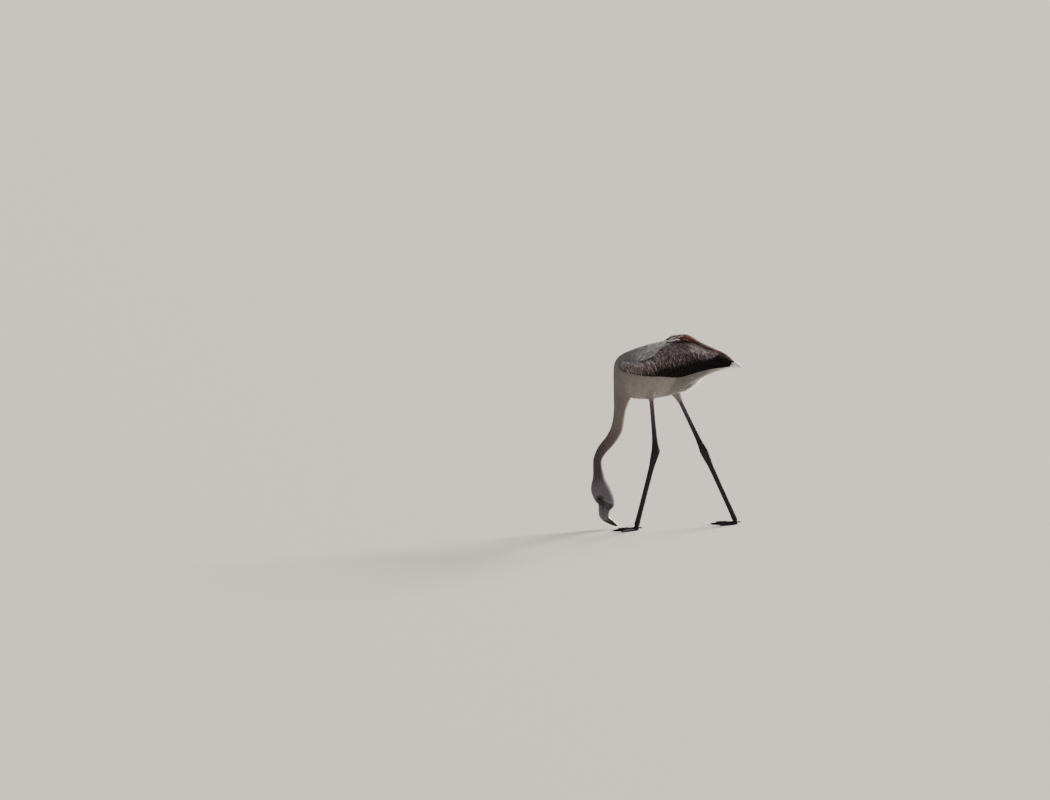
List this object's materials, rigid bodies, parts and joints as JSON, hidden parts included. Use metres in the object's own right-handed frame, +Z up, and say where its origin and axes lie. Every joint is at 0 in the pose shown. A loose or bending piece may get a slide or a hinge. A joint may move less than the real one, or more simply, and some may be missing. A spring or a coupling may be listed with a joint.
{
  "type": "juvenile greater flamingo, feeding stance",
  "caption": "Life-size still model of a young, grey-brown flamingo that wades with its long neck lowered and its bent bill near the floor, one leg forward and one back.",
  "frame": {"origin": "on the floor, under the middle of the bird's bounding box", "axes": "+Z up, the bird faces -X and its left side is -Y"},
  "size_m": [0.518, 0.192, 0.6463],
  "materials": {
    "body_plumage": "matte, soft feathers",
    "neck_plumage": "matte, short feathers",
    "wing_coverts": "satin feathers with buff edges",
    "flight_feathers": "satin, stiff feathers",
    "tertials": "satin, worn feathers",
    "tail_feathers": "matte feathers",
    "bill": "smooth horn",
    "eye": "wet gloss",
    "leg_skin": "scaled skin",
    "claw": "smooth horn"
  },
  "bodies": {
    "root": {"trunk": "body_plumage", "tail": "tail_feathers", "neck_base": "neck_plumage", "neck_middle": "neck_plumage", "neck_upper": "neck_plumage", "head": "neck_plumage", "bill_upper": "bill", "bill_lower": "bill", "eye_left": "eye", "eye_right": "eye", "wing_left": "wing_coverts", "wingtip_left": "flight_feathers", "tertials_left": "tertials", "thigh_left": "body_plumage", "shank_left": "leg_skin", "tarsus_left": "leg_skin", "foot_left": "leg_skin", "claw_left_inner": "claw", "claw_left_middle": "claw", "claw_left_outer": "claw", "claw_left_hind": "claw", "wing_right": "wing_coverts", "wingtip_right": "flight_feathers", "tertials_right": "tertials", "thigh_right": "body_plumage", "shank_right": "leg_skin", "tarsus_right": "leg_skin", "foot_right": "leg_skin", "claw_right_inner": "claw", "claw_right_middle": "claw", "claw_right_outer": "claw", "claw_right_hind": "claw"}
  },
  "joints": []
}
